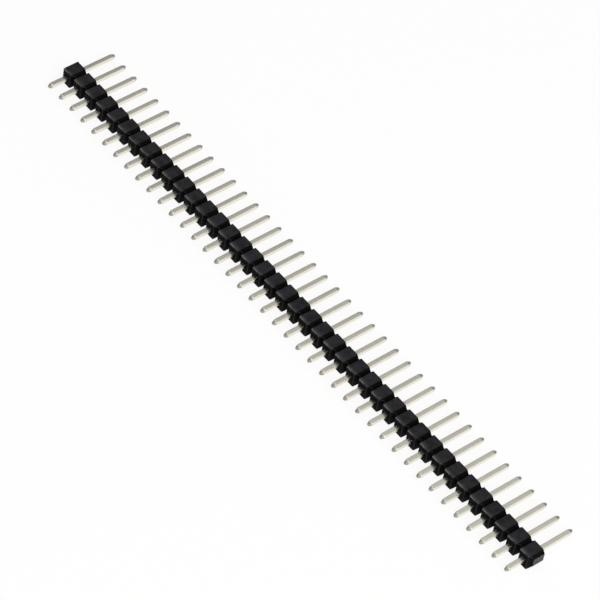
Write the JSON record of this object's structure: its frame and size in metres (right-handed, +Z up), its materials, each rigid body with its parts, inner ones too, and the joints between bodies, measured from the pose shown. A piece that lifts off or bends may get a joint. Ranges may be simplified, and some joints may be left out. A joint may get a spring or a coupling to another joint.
{
  "type": "pin header strip",
  "caption": "Straight single-row break-away pin header: square tin-plated contact pins held in a black moulded insulator with a notch between each pair of cells.",
  "frame": {"origin": "bottom centre of the strip's overall box, on the surface that it lies on, halfway along the row and halfway between the two rows of pin ends", "axes": "+X along the row from the first pin to the last; +Y level, the way the long mating pins point; +Z up from the surface that the strip lies on"},
  "size_m": [0.1016, 0.0114, 0.0025],
  "materials": {
    "insulator": "black glass-filled thermoplastic, moulded, satin, with fine grain and slightly polished lands",
    "pins": "brass square wire, bright tin plated, silver-grey, with drawing lines along the pin and darker chamfered ends"
  },
  "bodies": {
    "root": {"insulator": "insulator", "pin_01": "pins", "pin_02": "pins", "pin_03": "pins", "pin_04": "pins", "pin_05": "pins", "pin_06": "pins", "pin_07": "pins", "pin_08": "pins", "pin_09": "pins", "pin_10": "pins", "pin_11": "pins", "pin_12": "pins", "pin_13": "pins", "pin_14": "pins", "pin_15": "pins", "pin_16": "pins", "pin_17": "pins", "pin_18": "pins", "pin_19": "pins", "pin_20": "pins", "pin_21": "pins", "pin_22": "pins", "pin_23": "pins", "pin_24": "pins", "pin_25": "pins", "pin_26": "pins", "pin_27": "pins", "pin_28": "pins", "pin_29": "pins", "pin_30": "pins", "pin_31": "pins", "pin_32": "pins", "pin_33": "pins", "pin_34": "pins", "pin_35": "pins", "pin_36": "pins", "pin_37": "pins", "pin_38": "pins", "pin_39": "pins", "pin_40": "pins"}
  },
  "joints": []
}
